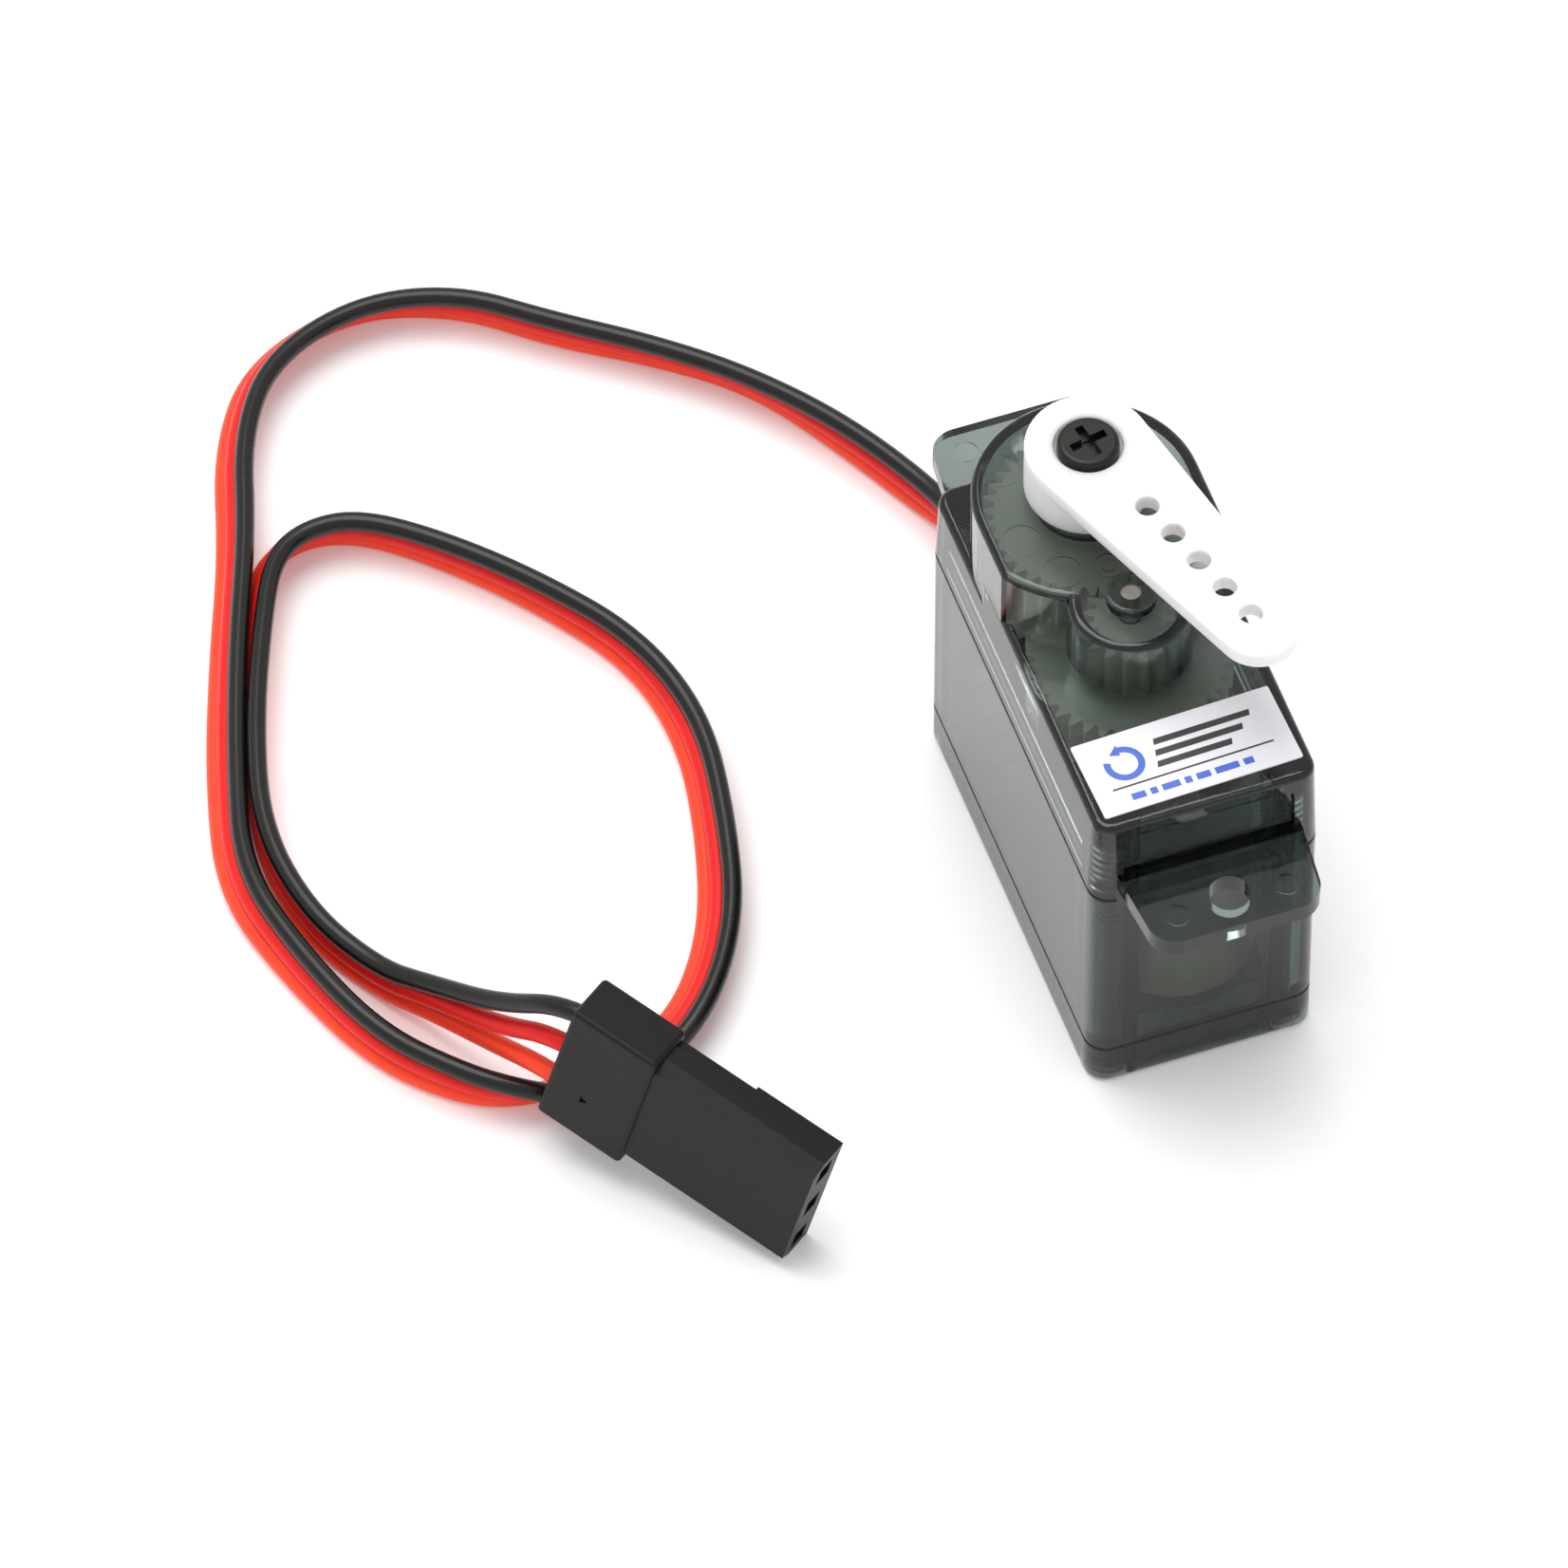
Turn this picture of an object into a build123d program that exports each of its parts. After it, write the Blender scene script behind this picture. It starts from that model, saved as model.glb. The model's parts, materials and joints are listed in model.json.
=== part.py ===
"""Sub-micro servo motor: smoke case, gear train, motor, feedback pot, board, arm and three-wire lead.

The origin is the centre of the case's underside. +Z is the output shaft's direction and +X runs
along the case towards the end that holds the output shaft and the lead. All sizes are in mm.
"""
from build123d import *
import math
import os

# --- case ---------------------------------------------------------------------------------
CASE_LENGTH = 23.2
CASE_WIDTH = 11.5
CASE_CORNER = 1.1
WALL = 0.75
GEAR_WALL = 0.5
COVER_TOP = 2.6            # seam between the bottom cover and the middle case
COVER_FLOOR = 0.8
SEAM_TOP = 14.6            # seam between the middle case and the top case
DECK_THICKNESS = 1.0
LEDGE_TOP = 18.6           # case corners beside the gear housing
PLATE_TOP = 20.0           # flat top that carries the label
HOUSING_TOP = 23.55
EDGE = 0.35
SEAM_EDGE = 0.12           # bevel on both sides of each seam
DRAFT = 2.0                # lean of the top case's walls, in degrees
CEILING = 0.7              # thickness of the top case's flat tops
MARK_DEPTH = 0.06          # ejector and gate marks
GATE_MARK = (0.9, 0.6)
CEILING_MARKS = [(1.5, 2.7), (3.9, 3.9), (8.2, 3.4)]
CEILING_MARK_R = 0.95
END_RECESS_X = -CASE_LENGTH / 2 + 0.35
END_RECESS_HALF = 4.3
END_RECESS_LEVELS = (16.0, 19.1)

# --- mounting tabs ---------------------------------------------------------------------------
TAB_TOP = 16.5
TAB_THICKNESS = 1.0
TAB_REACH = 16.2           # from the case's centre to a tab's end
TAB_ROOT_HALF = 4.65
TAB_END_HALF = 4.2
TAB_CORNER = 1.4
TAB_HOLE_X = 14.3
TAB_HOLE_R = 1.0
TAB_MARK = (14.7, 2.75)
TAB_MARK_R = 0.6

# --- axes ------------------------------------------------------------------------------------
OUTPUT_X = 5.5
GEAR_SPACING = 6.8         # output axis to idler axis
MOTOR_SPACING = 5.44       # idler axis to motor axis
IDLER_Y = 0.3              # the idler axle stands a little off the case's long plane
IDLER_X = OUTPUT_X - math.sqrt(GEAR_SPACING ** 2 - IDLER_Y ** 2)
MOTOR_X = IDLER_X - math.sqrt(MOTOR_SPACING ** 2 - IDLER_Y ** 2)
OUTPUT_AXIS = (OUTPUT_X, 0.0)
IDLER_AXIS = (IDLER_X, IDLER_Y)
MOTOR_AXIS = (MOTOR_X, 0.0)
HOUSING_NEAR_R = 6.5
HOUSING_FAR_R = 5.56
BUSHING_R = 2.6
TOWER_R = 3.05
BOSS_R = 1.25
BOSS_HEIGHT = 0.55

# --- gears -----------------------------------------------------------------------------------
FINE_MODULE = 0.2
GEAR_MODULE = 0.25
MOTOR_TEETH = 10
FIRST_TEETH = 44
PINION_TEETH = 16
WHEEL_TEETH = 38
PRESSURE_ANGLE = math.radians(25)
TOOTH_FILL = 0.86          # tooth thickness as a share of half the pitch
RUNNING = 0.05             # radial running clearance
THROUGH = 40.0             # above everything, for holes that go right through
# Lowest and highest level of each wheel, and how far up its pinion reaches.
MOTOR_PINION = (14.9, 16.3)
FIRST_WHEEL = (15.0, 15.9)
FIRST_PINION_TOP = 17.4
SECOND_WHEEL = (16.1, 17.2)
SECOND_PINION_TOP = 18.9
THIRD_WHEEL = (17.6, 18.7)
THIRD_PINION_TOP = 21.9
OUTPUT_WHEEL = (19.3, 21.4)

# --- output shaft, arm and screw -----------------------------------------------------------
SHAFT_R = 1.95
SPLINE_TEETH = 20
SPLINE_DEPTH = 0.2
SPLINE_TOP = 25.7
HUB_BOTTOM = 23.9
ARM_TOP = 27.05
ARM_THICKNESS = 0.9
ARM_ANGLE = 197.3
HUB_R = 3.05
TIP_R = 2.0
TIP_REACH = 13.2
FIRST_LINK_HOLE = 4.6
LINK_HOLE_PITCH = 2.0
LINK_HOLES = 5
LINK_HOLE_R = 0.58
RECESS_R = 1.7
RECESS_FLOOR = 26.6
ARM_SCREW_HEAD_R = 1.5
ARM_SCREW_TOP = 27.35
ARM_SCREW_R = 0.75
ARM_SCREW_END = 22.2
ARM_SCREW_ANGLE = 11.0

# --- case screws -----------------------------------------------------------------------------
POST_X = 10.15
POST_Y = 4.3
POST_R = 1.2
CASE_SCREW_R = 0.65
CASE_SCREW_HEAD_R = 1.2
CASE_SCREW_TOP = 18.0
CASE_SCREW_HEAD = (0.15, 1.0)
CASE_SCREW_GAP = 0.1       # radial room round the screws in the cover and the middle case
THREAD_PITCH = 0.5
THREAD_DEPTH = 0.13
THREAD_TURNS = 12

# --- motor, potentiometer, board -------------------------------------------------------------
MOTOR_R = 3.9
MOTOR_BOTTOM = 3.3
MOTOR_CAN_BOTTOM = 4.3
MOTOR_TOP = 13.3
MOTOR_NECK_R = 1.3
MOTOR_NECK_TOP = 14.1
MOTOR_BORE_R = 3.55
MOTOR_SHAFT_R = 0.5
MAGNET_THICKNESS = 0.9
MAGNET_LEVELS = (5.2, 12.2)
MAGNET_GAP = 2.4           # between the two magnets' ends
COMMUTATOR_R = 0.95
COMMUTATOR_LEVELS = (4.6, 12.4)
ARMATURE_R = 2.45
ARMATURE_LEVELS = (6.0, 11.6)
MOTOR_TERMINAL_Y = 2.3
AXLE_R = 0.5
POT_R = 3.8
POT_BOTTOM = 9.4
POT_TOP = 12.6
POT_NECK_R = 1.9
POT_SHAFT_R = 0.9
POT_SHAFT_TOP = 20.8
POT_TERMINAL_YS = (-1.5, 0.0, 1.5)
POT_TERMINAL_LEVELS = (10.2, 10.5)
MOTOR_LEAD_R = 0.3
POT_LEAD_R = 0.25
BOARD_LENGTH = 17.4
BOARD_WIDTH = 9.4
BOARD_BOTTOM = 1.1
BOARD_TOP = 1.7

# --- label -----------------------------------------------------------------------------------
LABEL_X = -8.3
LABEL_LENGTH = 4.5
LABEL_WIDTH = 10.1
LABEL_TURN = 1.9           # the sticker sits a little askew, in degrees
LABEL_THICKNESS = 0.08

# --- lead and connector ----------------------------------------------------------------------
WIRE_R = 0.46
WIRE_PITCH = 0.98
LEAD_START_X = 8.2         # where the wires are soldered to their posts
EXIT_Z = 4.0
GROMMET_HALF_WIDTH = 2.0
GROMMET_HALF_HEIGHT = 1.0
CONNECTOR_CENTRE = (-5.10, 29.89, 6.26)   # middle of the rear face
CONNECTOR_HEADING = math.radians(217.1)
CONNECTOR_TILT = math.radians(10.5)
CONNECTOR_ROLL = math.radians(9.3)
GRIP_LENGTH = 4.8
GRIP_WIDTH = 7.8
GRIP_THICKNESS = 2.9
NOSE_END = 14.0
NOSE_WIDTH = 7.2
NOSE_THICKNESS = 2.5
NOTCH_SIDE = 0.55          # the key notch takes only the far part of the narrow side
POLE_MARK = (2.0, -1.3)    # small sunk triangle on the grip's wide side
CONTACT_PITCH = 2.54
CONTACT_HALF = 0.5
CONTACT_BORE_HALF = 0.36
SOCKET_HALF = 0.55
WIRE_ENTRY_DEPTH = 2.2

# The ribbon's middle wire, from the case to where the three wires part, and how far the ribbon
# leans to the left of its run: 1 is flat with the black wire on the left, 0 is upright, on edge.
RIBBON_EXIT = [(13.8, 0.0, 4.0, 1.00), (16.9, 0.0, 3.3, 0.87), (20.0, 0.3, 2.3, 0.50)]
RIBBON_FLOOR = [
    (23.2, 1.2, 0.00), (28.6, 3.9, 0.05), (33.5, 7.2, 0.40), (36.9, 11.2, 0.33), (39.6, 15.2, 0.22),
    (43.0, 19.1, 0.30), (44.4, 24.2, 0.52), (42.5, 29.6, 0.57), (38.2, 32.5, 0.52), (32.4, 34.2, 0.49),
    (26.0, 36.8, 0.50), (19.2, 39.2, 0.55), (12.8, 40.9, 0.42), (7.0, 39.7, 0.25), (1.2, 37.6, 0.12),
    (-2.3, 34.5, 0.00), (-3.7, 32.1, -0.38), (-4.2, 29.6, -0.82), (-3.8, 26.2, -0.92), (-1.8, 22.5, -0.75),
    (2.6, 19.5, -0.67), (8.0, 17.9, -0.52), (14.0, 16.9, -0.40), (19.6, 18.0, -0.10),
    (24.6, 21.4, 0.05), (28.4, 24.8, 0.14), (31.2, 28.1, 0.25), (31.8, 30.9, 0.42), (30.6, 33.3, 0.44),
    (27.2, 34.9, 0.34), (20.8, 37.2, 0.05), (14.6, 38.9, 0.03), (9.0, 38.3, 0.02), (4.8, 36.1, -0.10),
]
# Each wire's side of the ribbon (1 is the upper wire, -1 the lower), and its own way from the
# ribbon's end up to the connector.
WIRES = {
    "wire_black": {"side": 1, "tail": [(2.4, 34.5, 3.5), (-1.4, 32.25, 5.75)]},
    "wire_red": {"side": 0, "tail": [(2.4, 34.5, 2.45), (-1.4, 32.25, 4.0)]},
    "wire_orange": {"side": -1, "tail": [(2.4, 34.5, 1.4), (-1.4, 32.25, 2.4)]},
}
LEAD_IN = 0.7              # how far behind the connector a wire is in line with its hole


def prism(outline, bottom, top):
    """A solid from a flat outline, between two heights."""
    return extrude(Pos(0, 0, bottom) * outline, top - bottom)


def disc(radius, bottom, top, axis=(0.0, 0.0)):
    """An upright round solid round an axis."""
    return prism(Pos(*axis) * Circle(radius), bottom, top)


def block(x_range, y_range, z_range):
    """A box between three pairs of limits."""
    size = [high - low for low, high in (x_range, y_range, z_range)]
    middle = [(high + low) / 2 for low, high in (x_range, y_range, z_range)]
    return Pos(*middle) * Box(*size)


def case_prism(bottom, top, inset=0.0, draft=0.0):
    """The case's rounded rectangle, set in by an inset, with walls that may lean in."""
    outline = RectangleRounded(CASE_LENGTH - 2 * inset, CASE_WIDTH - 2 * inset, CASE_CORNER - inset * 0.6)
    return extrude(Pos(0, 0, bottom) * outline, top - bottom, taper=draft)


def soften(solid, height_index, radius):
    """Round the edges in the highest (-1) or lowest (0) level."""
    return fillet(solid.edges().group_by(Axis.Z)[height_index], radius)


def bevel(solid, height_index):
    """Bevel the edges at a seam, in the highest (-1) or lowest (0) level."""
    return chamfer(solid.edges().group_by(Axis.Z)[height_index], SEAM_EDGE)


def at_corners(maker):
    """The same feature at the case's four screw posts."""
    return [Pos(sx * POST_X, sy * POST_Y) * maker for sx in (-1, 1) for sy in (-1, 1)]


def tooth_outline(teeth, module, phase):
    """A spur gear's outline, with tooth centres at phase plus whole pitches (radians)."""
    pitch_r = module * teeth / 2
    base_r = pitch_r * math.cos(PRESSURE_ANGLE)
    tip_r = pitch_r + module
    root_r = pitch_r - 1.2 * module
    involute = math.tan(PRESSURE_ANGLE) - PRESSURE_ANGLE
    half_at_pitch = TOOTH_FILL * math.pi / (2 * teeth)

    def half_angle(radius):
        angle = math.acos(min(1.0, base_r / radius))
        return half_at_pitch + involute - (math.tan(angle) - angle)

    radii = [root_r, max(base_r, root_r + 0.1 * module), pitch_r, tip_r]
    points = []
    for tooth in range(teeth):
        middle = phase + 2 * math.pi * tooth / teeth
        flank = [(radius, -half_angle(radius)) for radius in radii]
        flank += [(radius, half_angle(radius)) for radius in reversed(radii)]
        points += [(r * math.cos(middle + a), r * math.sin(middle + a)) for r, a in flank]
    return make_face(Polyline(*points, close=True))


def toothed(teeth, module, levels, axis, neighbour, in_gap):
    """A spur gear on its axis, with a tooth's middle towards its neighbour's axis, or a gap's."""
    phase = math.atan2(neighbour[1] - axis[1], neighbour[0] - axis[0])
    if in_gap:
        phase += math.pi / teeth
    return Pos(*axis) * prism(tooth_outline(teeth, module, phase), *levels)


def star(teeth, root_r, tip_r):
    """A fine V-toothed outline, for the output shaft's spline and the hub's bore."""
    points = []
    for index in range(2 * teeth):
        radius = tip_r if index % 2 == 0 else root_r
        angle = math.pi * index / teeth
        points.append((radius * math.cos(angle), radius * math.sin(angle)))
    return make_face(Polyline(*points, close=True))


def housing_outline(inset=0.0):
    """The gear housing seen from above: a round end, and a wider curve on the side of the idler."""
    half = HOUSING_FAR_R - inset
    near = Circle(HOUSING_NEAR_R - inset) & Pos(-10, 0) * Rectangle(20, 2 * half)
    far = Circle(HOUSING_FAR_R - inset) & Pos(10, 0) * Rectangle(20, 2 * half)
    return Pos(OUTPUT_X, 0) * (near + far)


def top_case():
    """The gear cover: plate, round gear housing, idler tower and four screw posts."""
    shell = bevel(soften(case_prism(SEAM_TOP, LEDGE_TOP, draft=DRAFT), -1, EDGE), 0)
    plate_length = OUTPUT_X + CASE_LENGTH / 2
    plate_outline = RectangleRounded(plate_length, CASE_WIDTH, CASE_CORNER)
    plate_outline = Pos(OUTPUT_X - plate_length / 2, 0) * plate_outline
    plate = extrude(Pos(0, 0, SEAM_TOP) * plate_outline, PLATE_TOP - SEAM_TOP, taper=DRAFT)
    shell += bevel(soften(plate, -1, EDGE), 0)
    shell += soften(prism(housing_outline(), LEDGE_TOP - 1, HOUSING_TOP), -1, EDGE)
    shell += soften(disc(TOWER_R, PLATE_TOP - 1, HOUSING_TOP, IDLER_AXIS), -1, EDGE)
    shell += soften(disc(BOSS_R, HOUSING_TOP - 0.5, HOUSING_TOP + BOSS_HEIGHT, IDLER_AXIS), -1, 0.2)
    shell -= top_case_hollow()
    for hole in at_corners(disc(CASE_SCREW_R, SEAM_TOP - 1, CASE_SCREW_TOP)):
        shell -= hole
    shell -= disc(BUSHING_R, HOUSING_TOP - 2, HOUSING_TOP + 1, OUTPUT_AXIS)
    shell -= disc(AXLE_R, HOUSING_TOP - 2, HOUSING_TOP + 1, IDLER_AXIS)
    beyond = CASE_LENGTH / 2 + 1
    wall_x = CASE_LENGTH / 2 - WALL
    for slot_x in ((-beyond, -wall_x), (wall_x, beyond)):
        shell -= block(slot_x, (-TAB_ROOT_HALF, TAB_ROOT_HALF), (SEAM_TOP - 1, TAB_TOP))
    recess = block((-beyond, END_RECESS_X), (-END_RECESS_HALF, END_RECESS_HALF), END_RECESS_LEVELS)
    shell -= fillet(recess.edges().filter_by(Axis.X), 0.5)
    return shell - gate_mark() - ceiling_marks()


def top_case_hollow():
    """The gear room inside the top case, with the four screw posts left standing."""
    length_range = (-CASE_LENGTH / 2 + WALL, CASE_LENGTH / 2 - WALL)
    half_width = CASE_WIDTH / 2 - GEAR_WALL
    narrow_half = HOUSING_FAR_R - GEAR_WALL
    hollow = block(length_range, (-half_width, half_width), (SEAM_TOP - 1, TAB_TOP))
    hollow += block(length_range, (-narrow_half, narrow_half), (TAB_TOP - 1, LEDGE_TOP - CEILING))
    plate_range = (length_range[0], OUTPUT_X)
    hollow += block(plate_range, (-narrow_half, narrow_half), (TAB_TOP, PLATE_TOP - CEILING))
    hollow += prism(housing_outline(GEAR_WALL), SEAM_TOP, HOUSING_TOP - CEILING)
    hollow += disc(TOWER_R - CEILING, SEAM_TOP, HOUSING_TOP - CEILING, IDLER_AXIS)
    wheel_tip_r = GEAR_MODULE * (WHEEL_TEETH / 2 + 1)
    wheel_bottom, wheel_top = THIRD_WHEEL
    hollow += disc(wheel_tip_r + RUNNING, wheel_bottom - RUNNING, wheel_top + RUNNING, IDLER_AXIS)
    for post in at_corners(disc(POST_R, SEAM_TOP - 2, PLATE_TOP)):
        hollow -= post
    return hollow


def gate_mark():
    """The shallow ring that the mould's gate leaves on top of the gear housing."""
    outside_r = 0.7
    ring = disc(outside_r, HOUSING_TOP - MARK_DEPTH, HOUSING_TOP + 1, GATE_MARK)
    return ring - disc(outside_r / 2, 0, THROUGH, GATE_MARK)


def ceiling_marks():
    """The round ejector marks on the gear housing's ceiling, seen through the clear plastic."""
    ceiling = HOUSING_TOP - CEILING
    levels = (ceiling - MARK_DEPTH, ceiling + MARK_DEPTH)
    marks = [disc(CEILING_MARK_R, *levels, place) for place in CEILING_MARKS]
    return Compound(children=marks)


def tab(side):
    """One mounting tab with its tongue up the case's end wall."""
    wall_x = CASE_LENGTH / 2 - WALL
    end = TAB_REACH
    outline = Polyline(
        (wall_x, -TAB_ROOT_HALF), (CASE_LENGTH / 2, -TAB_ROOT_HALF), (end, -TAB_END_HALF),
        (end, TAB_END_HALF), (CASE_LENGTH / 2, TAB_ROOT_HALF), (wall_x, TAB_ROOT_HALF), close=True)
    plate = prism(make_face(outline), TAB_TOP - TAB_THICKNESS, TAB_TOP)
    corners = [edge for edge in plate.edges().filter_by(Axis.Z) if edge.center().X > end - 0.01]
    plate = fillet(corners, TAB_CORNER)
    plate += block((wall_x, CASE_LENGTH / 2), (-TAB_ROOT_HALF, TAB_ROOT_HALF), (SEAM_TOP - 0.5, TAB_TOP))
    plate -= disc(TAB_HOLE_R, TAB_TOP - 2, TAB_TOP + 1, (TAB_HOLE_X, 0))
    for y in (-TAB_MARK[1], TAB_MARK[1]):
        plate -= disc(TAB_MARK_R, TAB_TOP - MARK_DEPTH, TAB_TOP + 1, (TAB_MARK[0], y))
    return plate if side > 0 else Rot(0, 0, 180) * plate


def middle_case():
    """The motor case: an open box under a deck, with screw posts and both mounting tabs."""
    shell = bevel(bevel(case_prism(COVER_TOP, SEAM_TOP), -1), 0)
    hollow = case_prism(COVER_TOP - 1, SEAM_TOP - DECK_THICKNESS, WALL)
    for post in at_corners(disc(POST_R, COVER_TOP - 2, SEAM_TOP)):
        hollow -= post
    shell -= hollow
    shell += tab(1) + tab(-1)
    for hole in at_corners(disc(CASE_SCREW_R + CASE_SCREW_GAP, COVER_TOP - 1, SEAM_TOP + 1)):
        shell -= hole
    shell -= disc(MOTOR_NECK_R, SEAM_TOP - 2, SEAM_TOP + 1, MOTOR_AXIS)
    shell -= disc(POT_SHAFT_R + RUNNING, SEAM_TOP - 2, SEAM_TOP + 1, OUTPUT_AXIS)
    shell -= disc(AXLE_R, SEAM_TOP - 2, SEAM_TOP + 1, IDLER_AXIS)
    shell -= grommet_body(GROMMET_HALF_WIDTH, GROMMET_HALF_HEIGHT, CASE_LENGTH / 2 - 2, CASE_LENGTH / 2 + 1)
    return shell


def bottom_cover():
    """The shallow lid under the board, with counterbored holes for the long screws."""
    shell = bevel(soften(case_prism(0, COVER_TOP), 0, EDGE), -1)
    hollow = case_prism(COVER_FLOOR, COVER_TOP + 1, WALL)
    for post in at_corners(disc(POST_R, 0, COVER_TOP + 2)):
        hollow -= post
    shell -= hollow
    for hole in at_corners(disc(CASE_SCREW_R + CASE_SCREW_GAP, -1, COVER_TOP + 1)):
        shell -= hole
    for counterbore in at_corners(disc(CASE_SCREW_HEAD_R + CASE_SCREW_GAP, -1, CASE_SCREW_HEAD[1])):
        shell -= counterbore
    for x in (-6.0, 6.0):
        for y in (-3.6, 3.6):
            shell += disc(0.6, COVER_FLOOR - 0.1, BOARD_BOTTOM, (x, y))
    return shell


def cross_recess(top, depth, reach, width):
    """A cross-shaped driver recess cut down from a screw's head."""
    bar = block((-reach, reach), (-width / 2, width / 2), (top - depth, top + 1))
    return bar + Rot(0, 0, 90) * bar + disc(width * 0.75, top - depth * 1.2, top + 1)


def case_screws():
    """Four identical long screws, heads down, with a coarse thread in the top case's posts."""
    head_bottom, head_top = CASE_SCREW_HEAD
    screw = soften(disc(CASE_SCREW_HEAD_R, head_bottom, head_top), 0, 0.25)
    screw += disc(CASE_SCREW_R, head_bottom + 0.3, CASE_SCREW_TOP)
    root_r = CASE_SCREW_R - THREAD_DEPTH
    for turn in range(THREAD_TURNS):
        groove_top = CASE_SCREW_TOP - (turn + 0.5) * THREAD_PITCH
        groove_bottom = groove_top - THREAD_PITCH / 2
        screw -= disc(CASE_SCREW_R + 1, groove_bottom, groove_top) - disc(root_r, groove_bottom, groove_top)
    recess = Rot(180, 0, 0) * cross_recess(-head_bottom, 0.45, 0.75, 0.3)
    return at_corners(screw - recess)


def output_bushing():
    """The plain bearing ring round the output shaft."""
    ring = disc(BUSHING_R, HOUSING_TOP - 1.0, HOUSING_TOP + 0.15, OUTPUT_AXIS)
    return ring - disc(SHAFT_R + RUNNING, 0, THROUGH, OUTPUT_AXIS)


def output_gear():
    """The last wheel with its shaft, spline and screw hole, and the socket for the pot's shaft."""
    bottom, top = OUTPUT_WHEEL
    wheel = toothed(WHEEL_TEETH, GEAR_MODULE, OUTPUT_WHEEL, OUTPUT_AXIS, IDLER_AXIS, True)
    wheel += disc(SHAFT_R, top - 0.2, HUB_BOTTOM, OUTPUT_AXIS)
    spline = prism(star(SPLINE_TEETH, SHAFT_R - SPLINE_DEPTH, SHAFT_R), HUB_BOTTOM - 0.2, SPLINE_TOP)
    wheel += Pos(*OUTPUT_AXIS) * Rot(0, 0, ARM_ANGLE) * spline
    wheel -= disc(ARM_SCREW_R, ARM_SCREW_END - 0.2, SPLINE_TOP + 1, OUTPUT_AXIS)
    return wheel - disc(POT_SHAFT_R, bottom - 1, POT_SHAFT_TOP, OUTPUT_AXIS)


def compound_gear(axis, wheel_levels, pinion_top, wheel, neighbours, bore):
    """A wheel with a pinion above it, in one piece, free on its axle.

    wheel is the wheel's teeth and module; neighbours are the axes that the wheel and the pinion
    mesh towards.
    """
    gear = toothed(*wheel, wheel_levels, axis, neighbours[0], True)
    pinion_levels = (wheel_levels[1] - 0.1, pinion_top)
    gear += toothed(PINION_TEETH, GEAR_MODULE, pinion_levels, axis, neighbours[1], False)
    return gear - disc(bore, 0, THROUGH, axis)


def first_gear():
    """The fine wheel that the motor's pinion drives, with its pinion, on the idler axle."""
    return compound_gear(IDLER_AXIS, FIRST_WHEEL, FIRST_PINION_TOP, (FIRST_TEETH, FINE_MODULE),
                         (MOTOR_AXIS, OUTPUT_AXIS), AXLE_R + RUNNING)


def second_gear():
    """The wheel and pinion that turn freely on the potentiometer's shaft."""
    return compound_gear(OUTPUT_AXIS, SECOND_WHEEL, SECOND_PINION_TOP, (WHEEL_TEETH, GEAR_MODULE),
                         (IDLER_AXIS, IDLER_AXIS), POT_SHAFT_R + RUNNING)


def third_gear():
    """The upper wheel and long pinion on the idler axle."""
    return compound_gear(IDLER_AXIS, THIRD_WHEEL, THIRD_PINION_TOP, (WHEEL_TEETH, GEAR_MODULE),
                         (OUTPUT_AXIS, OUTPUT_AXIS), AXLE_R + RUNNING)


def motor_pinion():
    """The small brass pinion pressed on the motor's shaft."""
    pinion = toothed(MOTOR_TEETH, FINE_MODULE, MOTOR_PINION, MOTOR_AXIS, IDLER_AXIS, False)
    return pinion - disc(MOTOR_SHAFT_R, 0, THROUGH, MOTOR_AXIS)


def servo_arm():
    """The single-sided arm: hub with a splined bore, tapered arm and five link holes."""
    tangent = math.acos((HUB_R - TIP_R) / TIP_REACH)
    arm_bottom = ARM_TOP - ARM_THICKNESS
    sides = Polyline(
        (HUB_R * math.cos(tangent), HUB_R * math.sin(tangent)),
        (TIP_REACH + TIP_R * math.cos(tangent), TIP_R * math.sin(tangent)),
        (TIP_REACH + TIP_R * math.cos(tangent), -TIP_R * math.sin(tangent)),
        (HUB_R * math.cos(tangent), -HUB_R * math.sin(tangent)), close=True)
    outline = make_face(sides) + Circle(HUB_R) + Pos(TIP_REACH, 0) * Circle(TIP_R)
    arm = soften(prism(outline, arm_bottom, ARM_TOP), -1, 0.15)
    arm += soften(disc(HUB_R, HUB_BOTTOM, arm_bottom + 0.2), 0, 0.2)
    for index in range(LINK_HOLES):
        reach = FIRST_LINK_HOLE + index * LINK_HOLE_PITCH
        arm -= disc(LINK_HOLE_R, arm_bottom - 1, ARM_TOP + 1, (reach, 0))
    arm -= disc(RECESS_R, RECESS_FLOOR, ARM_TOP + 1)
    arm -= disc(ARM_SCREW_R + 0.1, SPLINE_TOP, ARM_TOP)
    bore_gap = 0.03
    arm -= prism(star(SPLINE_TEETH, SHAFT_R - SPLINE_DEPTH + bore_gap, SHAFT_R + bore_gap),
                 HUB_BOTTOM - 1, SPLINE_TOP + 0.1)
    return Pos(*OUTPUT_AXIS) * Rot(0, 0, ARM_ANGLE) * arm


def arm_screw():
    """The pan-head cross-recess screw that holds the arm."""
    screw = soften(disc(ARM_SCREW_HEAD_R, RECESS_FLOOR, ARM_SCREW_TOP), -1, 0.25)
    screw += disc(ARM_SCREW_R, ARM_SCREW_END, RECESS_FLOOR + 0.1)
    screw -= cross_recess(ARM_SCREW_TOP, 0.45, 0.95, 0.44)
    return Pos(*OUTPUT_AXIS) * Rot(0, 0, ARM_SCREW_ANGLE) * screw


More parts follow.
